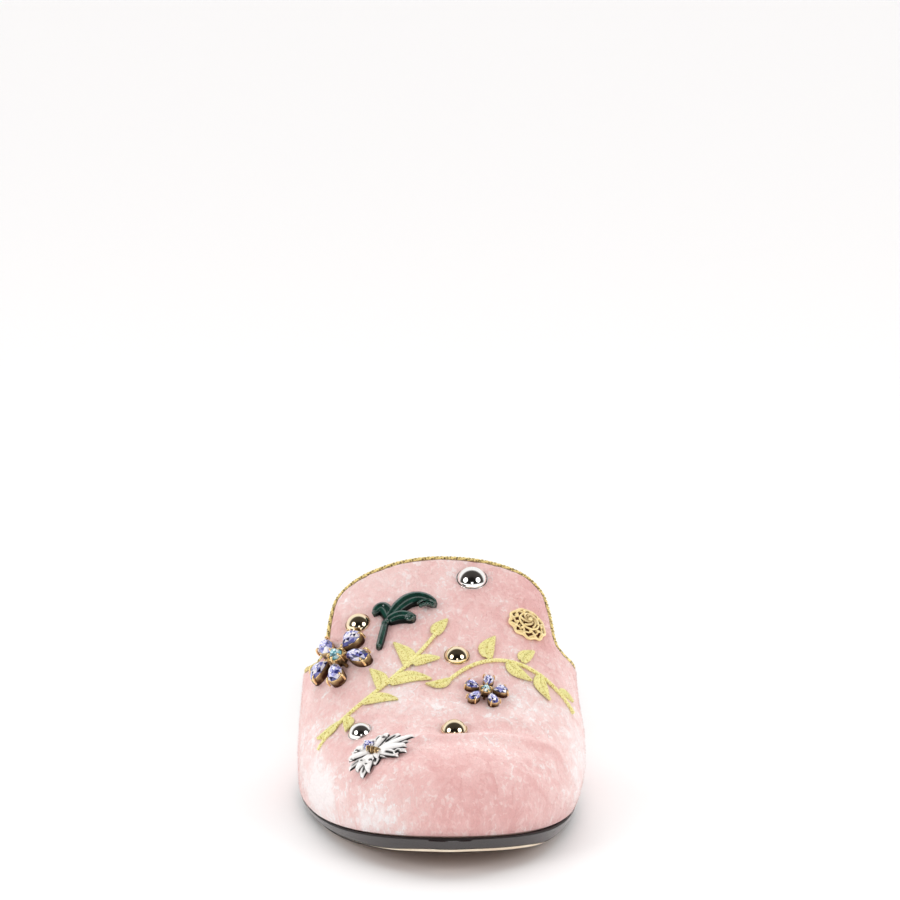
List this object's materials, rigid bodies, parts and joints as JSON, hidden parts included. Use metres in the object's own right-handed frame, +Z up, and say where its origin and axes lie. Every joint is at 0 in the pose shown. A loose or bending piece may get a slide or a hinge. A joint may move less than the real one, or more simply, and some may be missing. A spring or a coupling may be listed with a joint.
{
  "type": "velvet mule",
  "caption": "Backless velvet slip-on for the right foot with a rounded toe, hollow vamp, gold cord along the topline, jewelled ornaments, leather sole and low heel.",
  "frame": {"origin": "middle of the shoe's width and length, on the floor under its sole", "axes": "+X towards the inner side of the foot, +Y from the toe to the heel, +Z up"},
  "size_m": [0.0886, 0.2516, 0.0686],
  "materials": {
    "velvet": "crushed pale pink velvet",
    "gold_cord": "twisted metallic gold thread",
    "sole_leather": "dark satin edge paint",
    "heel_leather": "dark satin edge paint",
    "insole_leather": "soft lining leather",
    "gold_metal": "polished gold plate",
    "silver_metal": "polished silver plate",
    "violet_stone": "cut pale violet glass",
    "blue_stone": "cut sea blue glass",
    "green_enamel": "glossy dark green enamel"
  },
  "bodies": {
    "root": {"outsole": "sole_leather", "heel": "heel_leather", "insole": "insole_leather", "upper": "velvet", "topline_piping": "gold_cord", "stud_silver_throat": "silver_metal", "stud_gold_collar": "gold_metal", "stud_gold_vamp": "gold_metal", "stud_gold_toe": "gold_metal", "stud_silver_toe": "silver_metal", "flower_large_setting": "gold_metal", "flower_large_petal_1": "violet_stone", "flower_large_petal_2": "violet_stone", "flower_large_petal_3": "violet_stone", "flower_large_petal_4": "violet_stone", "flower_large_petal_5": "violet_stone", "flower_large_centre": "blue_stone", "flower_small_setting": "gold_metal", "flower_small_petal_1": "violet_stone", "flower_small_petal_2": "violet_stone", "flower_small_petal_3": "violet_stone", "flower_small_petal_4": "violet_stone", "flower_small_petal_5": "violet_stone", "flower_small_centre": "blue_stone", "filigree_rosette": "gold_metal", "leaf_sprig": "green_enamel", "winged_brooch": "silver_metal", "winged_brooch_stone": "violet_stone"}
  },
  "joints": []
}
